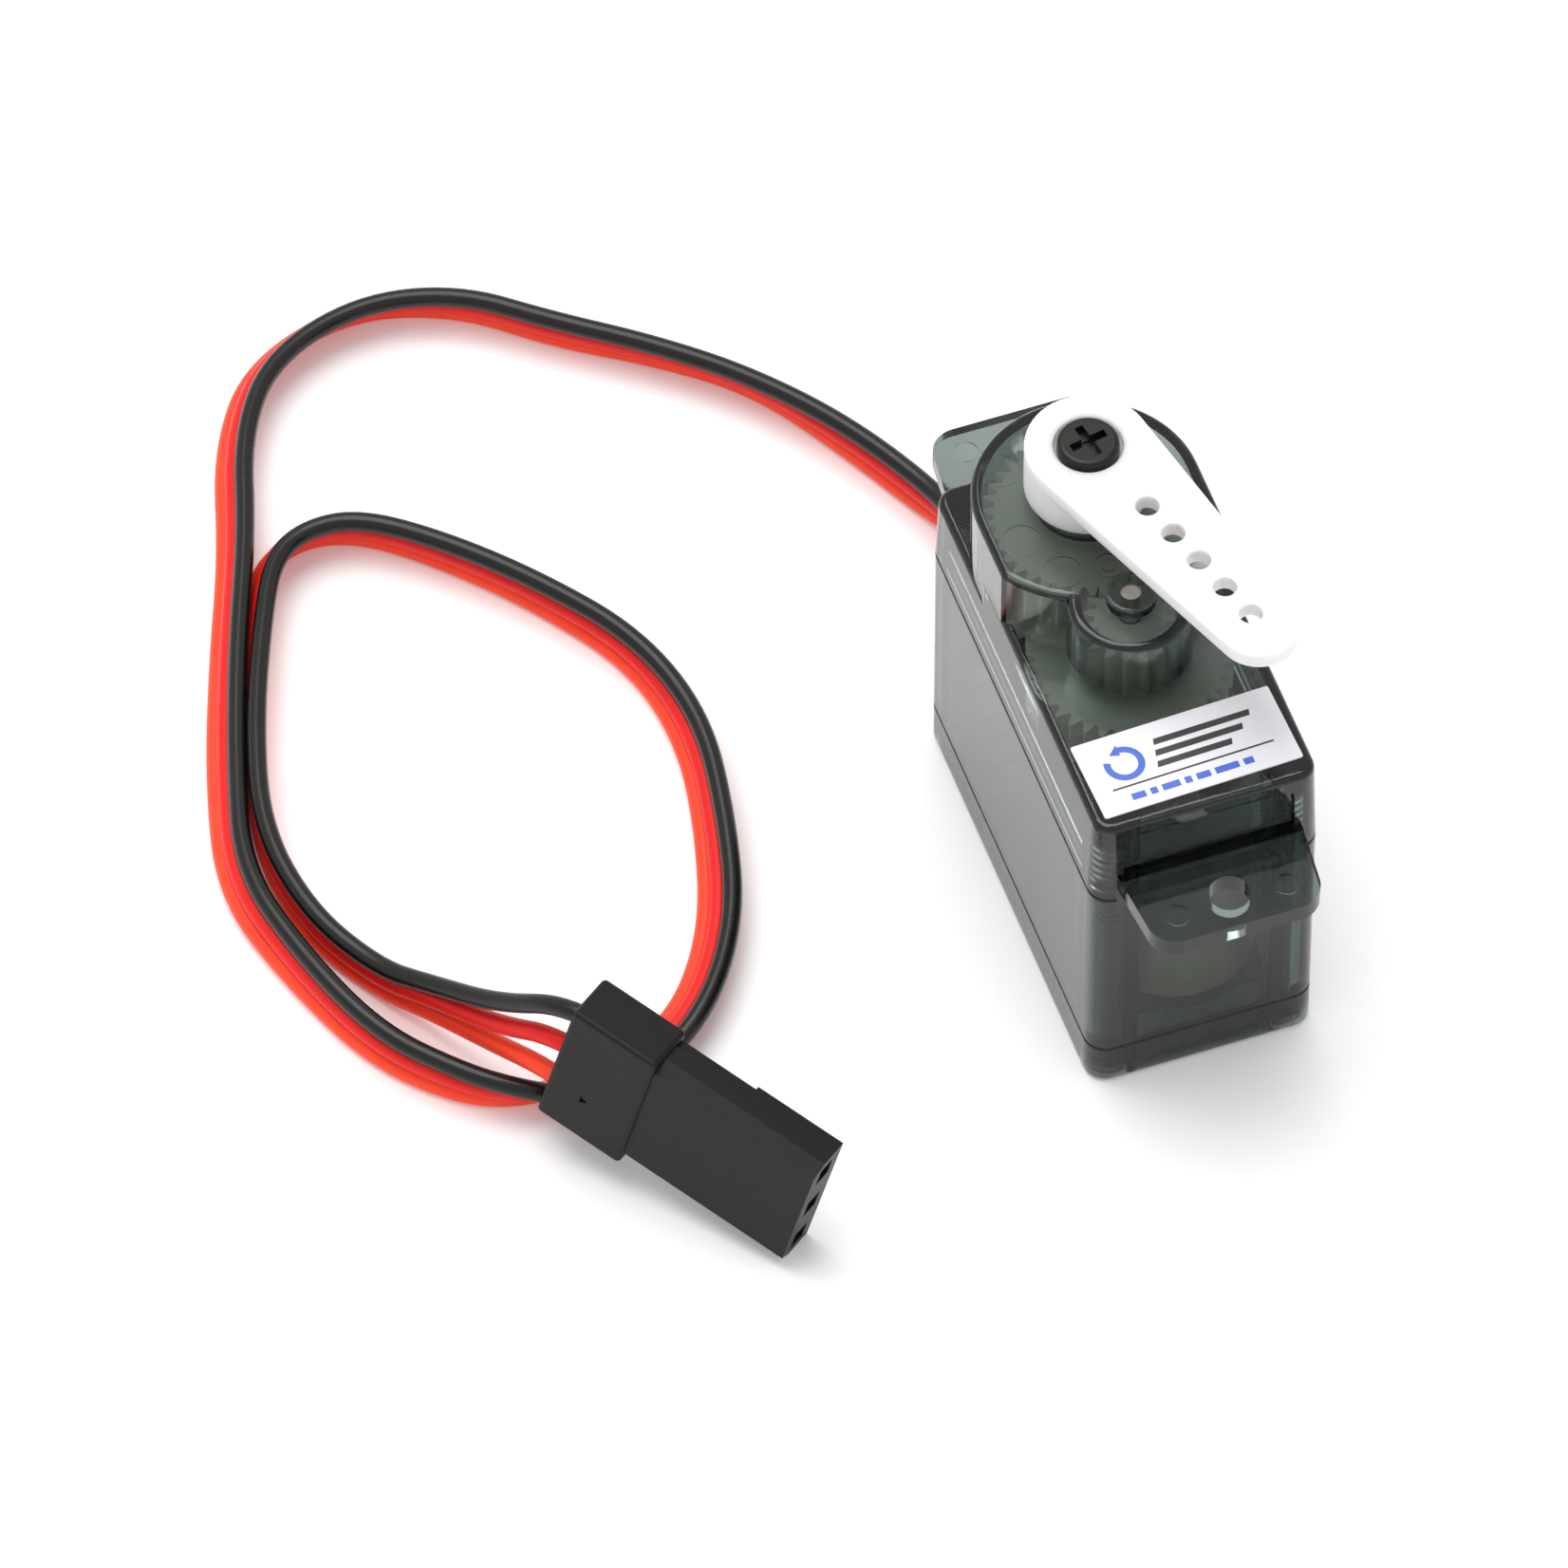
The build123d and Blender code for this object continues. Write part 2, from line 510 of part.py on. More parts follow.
def motor_can():
    """The steel can with its bearing neck, open below."""
    can = soften(disc(MOTOR_R, MOTOR_CAN_BOTTOM, MOTOR_TOP), -1, 0.4)
    can += disc(MOTOR_NECK_R, MOTOR_TOP - 0.2, MOTOR_NECK_TOP)
    can -= disc(MOTOR_BORE_R, MOTOR_CAN_BOTTOM - 1, MOTOR_TOP - 0.4)
    return Pos(MOTOR_X, 0) * (can - disc(MOTOR_SHAFT_R + RUNNING, 0, THROUGH))


def motor_magnets():
    """Two curved magnets against the can's wall."""
    ring = disc(MOTOR_BORE_R, *MAGNET_LEVELS) - disc(MOTOR_BORE_R - MAGNET_THICKNESS, 0, THROUGH)
    ring -= block((-MAGNET_GAP / 2, MAGNET_GAP / 2), (-MOTOR_R, MOTOR_R), (0, THROUGH))
    return [Pos(MOTOR_X, 0) * piece for piece in ring.solids()]


def motor_armature():
    """The three-pole armature with its commutator."""
    armature = disc(COMMUTATOR_R, *COMMUTATOR_LEVELS)
    for pole in range(3):
        stem = block((0, 2.2), (-0.45, 0.45), ARMATURE_LEVELS)
        shoe = disc(ARMATURE_R, *ARMATURE_LEVELS) & block((1.6, 5), (-1.5, 1.5), (0, THROUGH))
        armature += Rot(0, 0, 120 * pole) * (stem + shoe)
    return Pos(MOTOR_X, 0) * (armature - disc(MOTOR_SHAFT_R, 0, THROUGH))


def motor_end_cap():
    """The moulded cap that closes the can and holds the brushes' terminals."""
    cap = disc(MOTOR_R, MOTOR_BOTTOM, MOTOR_CAN_BOTTOM) - disc(MOTOR_SHAFT_R + RUNNING, 0, THROUGH)
    cap = Pos(MOTOR_X, 0) * cap
    for side in (-1, 1):
        cap -= motor_terminal(side)
    return cap


def motor_terminal(side):
    """A flat terminal that comes out under the motor's cap."""
    y = side * MOTOR_TERMINAL_Y
    return block((MOTOR_X - 0.6, MOTOR_X + 0.6), (y - 0.15, y + 0.15), (2.7, 4.1))


def potentiometer_body():
    """The feedback potentiometer's round case with a neck against the deck."""
    body = soften(disc(POT_R, POT_BOTTOM, POT_TOP), -1, 0.3)
    body += disc(POT_NECK_R, POT_TOP - 0.2, SEAM_TOP - DECK_THICKNESS)
    body = Pos(OUTPUT_X, 0) * (body - disc(POT_SHAFT_R + RUNNING, 0, THROUGH))
    for terminal in potentiometer_terminals():
        body -= terminal
    return body


def potentiometer_cover():
    """The thin metal back plate."""
    return disc(POT_R, POT_BOTTOM - 0.4, POT_BOTTOM, OUTPUT_AXIS)


def potentiometer_shaft():
    """The metal shaft from the wiper up to the output gear."""
    return disc(POT_SHAFT_R, POT_BOTTOM + 0.2, POT_SHAFT_TOP, OUTPUT_AXIS)


def potentiometer_terminals():
    """Three flat tags at the potentiometer's edge."""
    edge = OUTPUT_X - POT_R
    reach = (edge - 0.9, edge + 0.35)
    return [block(reach, (y - 0.3, y + 0.3), POT_TERMINAL_LEVELS) for y in POT_TERMINAL_YS]


def control_board():
    """The plain circuit board that lies in the bottom cover."""
    half = BOARD_LENGTH / 2
    return block((-half, half), (-BOARD_WIDTH / 2, BOARD_WIDTH / 2), (BOARD_BOTTOM, BOARD_TOP))


def chip(x, y, length, width, height):
    """A flat component on the board."""
    x_range = (x - length / 2, x + length / 2)
    y_range = (y - width / 2, y + width / 2)
    return soften(block(x_range, y_range, (BOARD_TOP, BOARD_TOP + height)), -1, 0.08)


def lead_pins():
    """The three solder posts that the lead's wires end on."""
    pins = []
    for wire in WIRES.values():
        y = wire["side"] * WIRE_PITCH
        pin_x = (LEAD_START_X - 0.5, LEAD_START_X)
        pins.append(block(pin_x, (y - 0.25, y + 0.25), (BOARD_TOP, EXIT_Z + 0.3)))
    return pins


def thin_wire(points, radius):
    """A short inner wire along filleted straight runs."""
    path = FilletPolyline(*points, radius=0.6)
    return sweep(Plane(path @ 0, z_dir=path % 0) * Circle(radius), path=path)


def motor_lead(side):
    """A wire from a motor terminal to the board."""
    y = side * MOTOR_TERMINAL_Y
    landing_x = MOTOR_X + 3.8
    landing_y = y + side
    return thin_wire([(MOTOR_X + 0.6, y, 3.0), (MOTOR_X + 2.4, y, 3.0), (landing_x, landing_y, 2.4),
                      (landing_x, landing_y, BOARD_TOP)], MOTOR_LEAD_R)


def pot_leads():
    """Three thin wires from the potentiometer down to the board."""
    x = OUTPUT_X - POT_R - 0.6
    landing_x = x + 1.2
    leads = []
    for y in POT_TERMINAL_YS:
        landing_y = y * 1.2
        points = [(x, y, POT_TERMINAL_LEVELS[0]), (x, y, 6.4), (landing_x, landing_y, 3.6),
                  (landing_x, landing_y, BOARD_TOP)]
        leads.append(thin_wire(points, POT_LEAD_R))
    return leads


def grommet_body(half_width, half_height, x_low, x_high):
    """The flat rounded block shared by the grommet and its slot."""
    outline = Plane.YZ * RectangleRounded(2 * half_width, 2 * half_height, half_height * 0.9)
    return Pos(x_low, 0, EXIT_Z) * extrude(outline, x_high - x_low)


def cable_grommet():
    """The soft strain relief: flanges on both sides of the wall and a slot that hugs the wires."""
    face = CASE_LENGTH / 2
    body = grommet_body(GROMMET_HALF_WIDTH, GROMMET_HALF_HEIGHT, face - WALL, face + 0.5)
    body += grommet_body(GROMMET_HALF_WIDTH + 0.4, GROMMET_HALF_HEIGHT + 0.4, face, face + 0.5)
    body += grommet_body(GROMMET_HALF_WIDTH + 0.4, GROMMET_HALF_HEIGHT + 0.4, face - WALL - 0.5, face - WALL)
    slot = grommet_body(WIRE_PITCH + WIRE_R, WIRE_R, face - 4, face + 3)
    return body - slot


def connector_axes():
    """The connector's own directions: forward, down across its width, and through its thickness."""
    forward = Vector(math.cos(CONNECTOR_TILT) * math.cos(CONNECTOR_HEADING),
                     math.cos(CONNECTOR_TILT) * math.sin(CONNECTOR_HEADING), -math.sin(CONNECTOR_TILT))
    below = Vector(0, 0, -1)
    plumb = (below - forward * below.dot(forward)).normalized()
    sideways = plumb.cross(forward)
    down = plumb * math.cos(CONNECTOR_ROLL) + sideways * math.sin(CONNECTOR_ROLL)
    return forward, down


def connector_plane():
    """The connector's own frame at the middle of its rear face."""
    forward, down = connector_axes()
    return Plane(origin=CONNECTOR_CENTRE, x_dir=forward, z_dir=down * -1)


def connector_place(u, v, w=0.0):
    """A point in the row's frame: u forward from the rear face, v up the width, w through it."""
    return connector_plane().from_local_coords(Vector(u, w, v))


def connector_housing():
    """The three-pole plug body: thick grip, thinner nose with two bevels, sockets and wire holes."""
    grip = block((0, GRIP_LENGTH), (-GRIP_THICKNESS / 2, GRIP_THICKNESS / 2),
                 (-GRIP_WIDTH / 2, GRIP_WIDTH / 2))
    grip = fillet(grip.edges(), 0.25)
    nose = block((GRIP_LENGTH - 1, NOSE_END), (-NOSE_THICKNESS / 2, NOSE_THICKNESS / 2),
                 (-NOSE_WIDTH / 2, NOSE_WIDTH / 2))
    bevelled = [edge for edge in nose.edges().filter_by(Axis.X) if edge.center().Y < 0]
    nose = chamfer(bevelled, 0.45, 0.8)
    notch_end = GRIP_LENGTH + 4.3
    nose -= block((GRIP_LENGTH, notch_end), (NOTCH_SIDE, 5), (NOSE_WIDTH / 2 - 0.25, NOSE_WIDTH / 2 + 1))
    mark = Plane.XZ.offset(GRIP_THICKNESS / 2 - 0.12) * Pos(*POLE_MARK) * RegularPolygon(0.28, 3)
    body = grip + nose - extrude(mark, 1)
    socket = (-SOCKET_HALF, SOCKET_HALF)
    for pole in (-1, 0, 1):
        z = pole * CONTACT_PITCH
        body -= Pos(0, 0, z) * block((3.4, NOSE_END + 1), socket, socket)
        body -= Pos(-1, 0, z) * extrude(Plane.YZ * Circle(WIRE_R), 1 + WIRE_ENTRY_DEPTH)
    return connector_plane() * body


def connector_contacts():
    """Three folded sheet-metal sockets inside the plug."""
    contacts = []
    outside = (-CONTACT_HALF, CONTACT_HALF)
    inside = (-CONTACT_BORE_HALF, CONTACT_BORE_HALF)
    for pole in (-1, 0, 1):
        z = pole * CONTACT_PITCH
        tube = block((4.0, NOSE_END - 0.5), outside, outside) - block((5.0, NOSE_END), inside, inside)
        contacts.append(connector_plane() * Pos(0, 0, z) * tube)
    return contacts


def ribbon_points(side):
    """One wire's points along the ribbon: side is 1, 0 or -1 for the upper, middle and lower wire."""
    centres = [(x, y, z, lean) for x, y, z, lean in RIBBON_EXIT]
    for x, y, lean in RIBBON_FLOOR:
        centres.append((x, y, WIRE_PITCH * (0.5 + math.sqrt(1 - lean * lean)), lean))
    points = []
    for index, (x, y, z, lean) in enumerate(centres):
        before = centres[max(index - 1, 0)]
        after = centres[min(index + 1, len(centres) - 1)]
        heading_in = math.atan2(y - before[1], x - before[0]) if index else 0.0
        heading_out = math.atan2(after[1] - y, after[0] - x) if index < len(centres) - 1 else heading_in
        turn = math.remainder(heading_out - heading_in, 2 * math.pi)
        heading = heading_in + turn / 2
        shift = side * WIRE_PITCH * lean / math.cos(turn / 2)
        rise = side * WIRE_PITCH * math.sqrt(1 - lean * lean)
        points.append(Vector(x - shift * math.sin(heading), y + shift * math.cos(heading), z + rise))
    return points


def wire_route(name):
    """A wire's whole way, from its solder post to inside the connector."""
    wire = WIRES[name]
    start = Vector(LEAD_START_X, wire["side"] * WIRE_PITCH, EXIT_Z)
    height = wire["side"] * CONTACT_PITCH
    points = [start] + ribbon_points(wire["side"]) + [Vector(*point) for point in wire["tail"]]
    return points + [connector_place(-LEAD_IN, height), connector_place(WIRE_ENTRY_DEPTH, height)]


def corner_radii(points):
    """The largest arc that each corner's two runs allow."""
    radii = []
    for before, corner, after in zip(points, points[1:], points[2:]):
        run_in = corner - before
        run_out = after - corner
        half_turn = math.radians(run_in.get_angle(run_out)) / 2
        radii.append(0.45 * min(run_in.length, run_out.length) / math.tan(half_turn))
    return radii


def lead_wire(name):
    """One insulated wire of the lead, as straight runs joined by arcs."""
    points = wire_route(name)
    radii = corner_radii(points)
    path = FilletPolyline(*points, radius=radii)
    tube = sweep(Plane(path @ 0, z_dir=path % 0) * Circle(WIRE_R), path=path)
    print(f"{name}: length {path.length:.1f}, smallest radius {min(radii):.2f}")
    return tube


def label():
    """The thin rectangular sticker on the top plate."""
    outline = Pos(LABEL_X, 0) * Rot(0, 0, LABEL_TURN) * RectangleRounded(LABEL_LENGTH, LABEL_WIDTH, 0.12)
    return prism(outline, PLATE_TOP, PLATE_TOP + LABEL_THICKNESS)


def parts():
    """Every sub-part by its node's name."""
    made = {
        "top_case": top_case(),
        "middle_case": middle_case(),
        "bottom_cover": bottom_cover(),
        "case_screws": case_screws(),
        "output_bushing": output_bushing(),
        "output_gear": output_gear(),
        "third_gear": third_gear(),
        "second_gear": second_gear(),
        "first_gear": first_gear(),
        "idler_axle": disc(AXLE_R, SEAM_TOP - DECK_THICKNESS, HOUSING_TOP + BOSS_HEIGHT - 0.1, IDLER_AXIS),
        "motor_pinion": motor_pinion(),
        "motor_shaft": disc(MOTOR_SHAFT_R, 3.5, MOTOR_PINION[1] + 0.1, MOTOR_AXIS),
        "motor_armature": motor_armature(),
        "motor_magnets": motor_magnets(),
        "motor_can": motor_can(),
        "motor_end_cap": motor_end_cap(),
        "motor_terminals": [motor_terminal(side) for side in (-1, 1)],
        "motor_lead_black": motor_lead(-1),
        "motor_lead_red": motor_lead(1),
        "potentiometer_body": potentiometer_body(),
        "potentiometer_cover": potentiometer_cover(),
        "potentiometer_shaft": potentiometer_shaft(),
        "potentiometer_terminals": potentiometer_terminals(),
        "potentiometer_leads": pot_leads(),
        "control_board": control_board(),
        "control_chip": chip(4.7, 0, 3.6, 3.6, 0.9),
        "driver_chips": [chip(-0.9, y, 2.0, 2.6, 0.8) for y in (-1.7, 1.7)],
        "board_capacitors": [chip(5.6, y, 1.0, 1.8, 0.8) for y in (-3.2, 3.2)],
        "lead_pins": lead_pins(),
        "cable_grommet": cable_grommet(),
        "servo_arm": servo_arm(),
        "arm_screw": arm_screw(),
        "label": label(),
        "connector_housing": connector_housing(),
        "connector_contacts": connector_contacts(),
    }
    for name in WIRES:
        made[name] = lead_wire(name)
    return made


def main():
    os.makedirs("parts", exist_ok=True)
    for name, shape in parts().items():
        if isinstance(shape, (list, ShapeList)):
            shape = Compound(children=list(shape))
        export_step(shape, f"parts/{name}.step")


if __name__ == "__main__":
    main()
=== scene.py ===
"""Sub-micro servo motor: the looks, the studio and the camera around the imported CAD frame.

Lengths are in metres in the part's own frame: +Z up the output shaft, +X towards the end of the
case where the lead comes out, origin at the centre of the case's underside. MM turns the
millimetres used below into metres.
"""

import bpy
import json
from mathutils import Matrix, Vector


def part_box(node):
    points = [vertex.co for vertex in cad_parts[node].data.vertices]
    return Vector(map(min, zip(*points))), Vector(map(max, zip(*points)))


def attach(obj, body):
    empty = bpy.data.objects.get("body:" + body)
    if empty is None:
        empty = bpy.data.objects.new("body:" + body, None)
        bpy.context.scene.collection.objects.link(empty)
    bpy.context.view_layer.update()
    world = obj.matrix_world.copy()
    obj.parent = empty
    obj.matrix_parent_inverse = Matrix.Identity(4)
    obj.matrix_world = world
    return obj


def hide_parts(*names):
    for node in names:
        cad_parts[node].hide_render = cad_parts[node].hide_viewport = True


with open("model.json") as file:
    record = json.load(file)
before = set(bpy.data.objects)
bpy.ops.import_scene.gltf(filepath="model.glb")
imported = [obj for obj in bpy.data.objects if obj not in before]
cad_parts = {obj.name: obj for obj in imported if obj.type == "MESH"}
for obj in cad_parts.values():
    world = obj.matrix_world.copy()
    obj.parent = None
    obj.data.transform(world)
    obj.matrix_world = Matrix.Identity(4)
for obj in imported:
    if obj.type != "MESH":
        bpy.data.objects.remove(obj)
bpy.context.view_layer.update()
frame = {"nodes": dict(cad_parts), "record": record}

import json
import math

import bmesh
import bpy
from mathutils import Matrix, Vector

MM = 0.001
scene = bpy.context.scene
nodes = frame["nodes"]

# --- camera -------------------------------------------------------------------------------
CAMERA_PLACE = Vector((-0.49079, 0.19154, 0.71227))
CAMERA_AZIMUTH = math.radians(160.45)
CAMERA_ELEVATION = math.radians(53.25)
CAMERA_LENS = 420.0
SENSOR_WIDTH = 36.0
CLIP_NEAR = 0.05
CLIP_FAR = 20.0

# --- studio -------------------------------------------------------------------------------
FLOOR_REACH = 4.0
FLOOR_GLOW = 0.09
WORLD_STRENGTH = 0.85
SOFTBOX_PLACE = (0.25, 0.1, 0.9)
SOFTBOX_AIM = (0.01, 0.015, 0.0)
SOFTBOX_SIZE = 0.7
SOFTBOX_POWER = 6.0

# --- looks --------------------------------------------------------------------------------
PLASTIC_IOR = 1.5
MOTTLE_SCALE = 900.0       # size of the slow changes of colour, per metre
SHEEN_SCALE = 2250.0       # and of roughness
RELIEF_DEPTH = 0.02 * MM
SKIN_TINT = (1.0, 0.9, 0.8)     # how far red, green and blue light travel under a soft surface
# How dense the smoke tint is in each moulding, per metre of plastic. The mouldings are one smoke plastic in
# lighter and darker copies: the thinner tint of the top case and the other smoke parts is painted light on
# the lit top, the middle case's denser tint is painted shade on the side faces, and the bottom cover is
# denser still, darker towards the bottom.
TOP_TINT_PAINTED_LIGHT = 1400.0
MIDDLE_TINT_PAINTED_SHADE = 2100.0
COVER_TINT = 3800.0

# --- lead: the same route as the CAD tubes' ---------------------------------------------------
WIRE_PITCH = 0.98 * MM
WIRE_DIAMETER = 0.98 * MM
LEAD_START_X = 8.2 * MM
EXIT_Z = 4.0 * MM
LEAD_IN = 0.7 * MM
WIRE_ENTRY_DEPTH = 2.2 * MM
CONTACT_PITCH = 2.54 * MM
CONNECTOR_CENTRE = Vector((-5.10, 29.89, 6.26)) * MM
CONNECTOR_HEADING = math.radians(217.1)
CONNECTOR_TILT = math.radians(10.5)
CONNECTOR_ROLL = math.radians(9.3)

# The ribbon's middle wire in millimetres, and how far the ribbon leans to the left of its run: 1 is
# flat with the black wire on the left, 0 is upright, on edge.
RIBBON_EXIT = [(13.8, 0.0, 4.0, 1.00), (16.9, 0.0, 3.3, 0.87), (20.0, 0.3, 2.3, 0.50)]
RIBBON_FLOOR = [
    (23.2, 1.2, 0.00), (28.6, 3.9, 0.05), (33.5, 7.2, 0.40), (36.9, 11.2, 0.33), (39.6, 15.2, 0.22),
    (43.0, 19.1, 0.30), (44.4, 24.2, 0.52), (42.5, 29.6, 0.57), (38.2, 32.5, 0.52), (32.4, 34.2, 0.49),
    (26.0, 36.8, 0.50), (19.2, 39.2, 0.55), (12.8, 40.9, 0.42), (7.0, 39.7, 0.25), (1.2, 37.6, 0.12),
    (-2.3, 34.5, 0.00), (-3.7, 32.1, -0.38), (-4.2, 29.6, -0.82), (-3.8, 26.2, -0.92), (-1.8, 22.5, -0.75),
    (2.6, 19.5, -0.67), (8.0, 17.9, -0.52), (14.0, 16.9, -0.40), (19.6, 18.0, -0.10),
    (24.6, 21.4, 0.05), (28.4, 24.8, 0.14), (31.2, 28.1, 0.25), (31.8, 30.9, 0.42), (30.6, 33.3, 0.44),
    (27.2, 34.9, 0.34), (20.8, 37.2, 0.05), (14.6, 38.9, 0.03), (9.0, 38.3, 0.02), (4.8, 36.1, -0.10),
]
WIRES = {
    "wire_black": {"side": 1, "tail": [(2.4, 34.5, 3.5), (-1.4, 32.25, 5.75)]},
    "wire_red": {"side": 0, "tail": [(2.4, 34.5, 2.45), (-1.4, 32.25, 4.0)]},
    "wire_orange": {"side": -1, "tail": [(2.4, 34.5, 1.4), (-1.4, 32.25, 2.4)]},
}

# --- sticker ----------------------------------------------------------------------------------
LABEL_TURN = math.radians(1.9)
INK_THICKNESS = 0.008 * MM
ARROW_HEAD = math.radians(38)
ARROW_STEPS = 28


# --- materials ------------------------------------------------------------------------------
def surface(name, colour, roughness, shift=0.06, grain=0.15, grain_scale=9000.0, rough_shift=0.06,
            metallic=0.0, specular=0.5, transmission=0.0, subsurface=0.0, scatter=0.8, absorb=None,
            density=0.0, stretch=None):
    """A Principled material whose colour, roughness and fine relief vary by noise in object space."""
    material = bpy.data.materials.new(name)
    material.use_nodes = True
    tree = material.node_tree
    shader = tree.nodes["Principled BSDF"]
    shader.inputs["Metallic"].default_value = metallic
    shader.inputs["IOR"].default_value = PLASTIC_IOR
    shader.inputs["Specular IOR Level"].default_value = specular
    shader.inputs["Transmission Weight"].default_value = transmission
    shader.inputs["Subsurface Weight"].default_value = subsurface
    shader.inputs["Subsurface Radius"].default_value = SKIN_TINT
    shader.inputs["Subsurface Scale"].default_value = scatter * MM

    place = tree.nodes.new("ShaderNodeTexCoord").outputs["Object"]
    if stretch:
        mapping = tree.nodes.new("ShaderNodeMapping")
        mapping.inputs["Scale"].default_value = stretch
        tree.links.new(place, mapping.inputs["Vector"])
        place = mapping.outputs["Vector"]

    def noise(scale, detail):
        texture = tree.nodes.new("ShaderNodeTexNoise")
        texture.inputs["Scale"].default_value = scale
        texture.inputs["Detail"].default_value = detail
        tree.links.new(place, texture.inputs["Vector"])
        return texture.outputs["Fac"]

    ramp = tree.nodes.new("ShaderNodeValToRGB")
    ramp.color_ramp.elements[0].position = 0.3
    ramp.color_ramp.elements[1].position = 0.7
    ramp.color_ramp.elements[0].color = [max(0.0, c * (1 - shift)) for c in colour] + [1.0]
    ramp.color_ramp.elements[1].color = [min(1.0, c * (1 + shift)) for c in colour] + [1.0]
    tree.links.new(noise(MOTTLE_SCALE, 4.0), ramp.inputs["Fac"])
    tree.links.new(ramp.outputs["Color"], shader.inputs["Base Color"])

    spread = tree.nodes.new("ShaderNodeMapRange")
    spread.inputs["To Min"].default_value = max(0.0, roughness - rough_shift)
    spread.inputs["To Max"].default_value = min(1.0, roughness + rough_shift)
    tree.links.new(noise(SHEEN_SCALE, 3.0), spread.inputs["Value"])
    tree.links.new(spread.outputs["Result"], shader.inputs["Roughness"])

    bump = tree.nodes.new("ShaderNodeBump")
    bump.inputs["Strength"].default_value = grain
    bump.inputs["Distance"].default_value = RELIEF_DEPTH
    tree.links.new(noise(grain_scale, 2.0), bump.inputs["Height"])
    tree.links.new(bump.outputs["Normal"], shader.inputs["Normal"])

    if absorb:
        volume = tree.nodes.new("ShaderNodeVolumeAbsorption")
        volume.inputs["Color"].default_value = (*absorb, 1.0)
        volume.inputs["Density"].default_value = density
        tree.links.new(volume.outputs["Volume"], tree.nodes["Material Output"].inputs["Volume"])
    return material


def smoke_plastic(name, density):
    """Clear glossy moulding with a green-grey tint that deepens with thickness."""
    return surface(name, (0.965, 0.968, 0.95), 0.06, shift=0.02, grain=0.03, rough_shift=0.03,
                   transmission=1.0, absorb=(0.33, 0.43, 0.41), density=density)


def wire_insulation(name, colour):
    """The soft, faintly dimpled skin of a coloured wire."""
    return surface(name, colour, 0.38, shift=0.04, grain=0.12, grain_scale=5000.0, specular=0.25)


MATERIALS = {
    # The smoke plastic with the thinner tint: a lighter copy, painted light for the lit top of the top
    # case.
    "smoke_plastic": smoke_plastic("smoke_plastic", TOP_TINT_PAINTED_LIGHT),
    "black_plastic": surface("black_plastic", (0.0085, 0.0080, 0.0068), 0.45, grain=0.30,
                             grain_scale=14000.0, specular=0.22),
    "white_nylon": surface("white_nylon", (0.75, 0.75, 0.745), 0.38, shift=0.015, grain=0.08,
                           subsurface=1.0, scatter=1.1),
    "gear_nylon": surface("gear_nylon", (0.70, 0.69, 0.63), 0.42, shift=0.03, subsurface=0.2),
    "dark_steel": surface("dark_steel", (0.008, 0.007, 0.006), 0.30, grain=0.2, specular=0.3),
    "steel": surface("steel", (0.62, 0.62, 0.62), 0.28, metallic=1.0, stretch=(1.0, 1.0, 12.0)),
    "brass": surface("brass", (0.72, 0.52, 0.25), 0.28, metallic=1.0, stretch=(1.0, 1.0, 10.0)),
    "motor_steel": surface("motor_steel", (0.72, 0.60, 0.45), 0.42, metallic=0.6,
                           stretch=(1.0, 1.0, 0.2)),
    "magnet": surface("magnet", (0.06, 0.06, 0.06), 0.6),
    "copper": surface("copper", (0.55, 0.24, 0.10), 0.35, metallic=1.0, stretch=(1.0, 1.0, 14.0)),
    "board": surface("board", (0.015, 0.10, 0.05), 0.35, shift=0.15),
    "chip": surface("chip", (0.02, 0.02, 0.02), 0.5),
    "ceramic": surface("ceramic", (0.36, 0.24, 0.14), 0.4),
    "tin": surface("tin", (0.72, 0.72, 0.70), 0.3, metallic=1.0),
    "gold": surface("gold", (0.80, 0.58, 0.22), 0.25, metallic=1.0),
    "wire_black": surface("wire_black", (0.0065, 0.0060, 0.0055), 0.27, grain=0.25,
                          grain_scale=5000.0, specular=0.35),
    "wire_red": wire_insulation("wire_red", (0.74, 0.012, 0.010)),
    "wire_orange": wire_insulation("wire_orange", (0.92, 0.060, 0.020)),
    "grommet_rubber": surface("grommet_rubber", (0.02, 0.02, 0.02), 0.6),
    "label": surface("label", (0.74, 0.74, 0.775), 0.35, shift=0.01, grain=0.05),
}
PRINTS = {
    "blue": surface("print_blue", (0.055, 0.13, 0.55), 0.4, shift=0.08, grain=0.05),
    "dark": surface("print_dark", (0.03, 0.03, 0.03), 0.4, shift=0.08, grain=0.05),
}
for row in frame["record"]["subparts"]:
    cad_part = nodes[row["node"]]
    cad_part.data.materials.clear()
    cad_part.data.materials.append(MATERIALS[row["material_slot"]])
# Denser copies of the smoke plastic: painted shade on the middle case's side faces, and the bottom cover
# darker still, towards the bottom.
for case_part, case_density in (("middle_case", MIDDLE_TINT_PAINTED_SHADE), ("bottom_cover", COVER_TINT)):
    nodes[case_part].data.materials[0] = smoke_plastic("smoke_plastic_" + case_part, case_density)
# A much darker bronze for the output bushing, which sits just under the hub.
dark_bronze = surface("dark_bronze", (0.10, 0.075, 0.05), 0.35, metallic=0.6)
nodes["output_bushing"].data.materials[0] = dark_bronze


# --- lead -----------------------------------------------------------------------------------
def connector_axes():
    """The plug's forward direction, and the one up across its width."""
    forward = Vector((math.cos(CONNECTOR_TILT) * math.cos(CONNECTOR_HEADING),
                      math.cos(CONNECTOR_TILT) * math.sin(CONNECTOR_HEADING), -math.sin(CONNECTOR_TILT)))
    plumb = Vector((0, 0, -1))
    plumb = (plumb - forward * plumb.dot(forward)).normalized()
    sideways = plumb.cross(forward)
    return forward, -(plumb * math.cos(CONNECTOR_ROLL) + sideways * math.sin(CONNECTOR_ROLL))


def connector_place(u, v):
    """A point at the plug: u forward from its rear face, v up its width."""
    forward, up = connector_axes()
    return CONNECTOR_CENTRE + forward * u + up * v


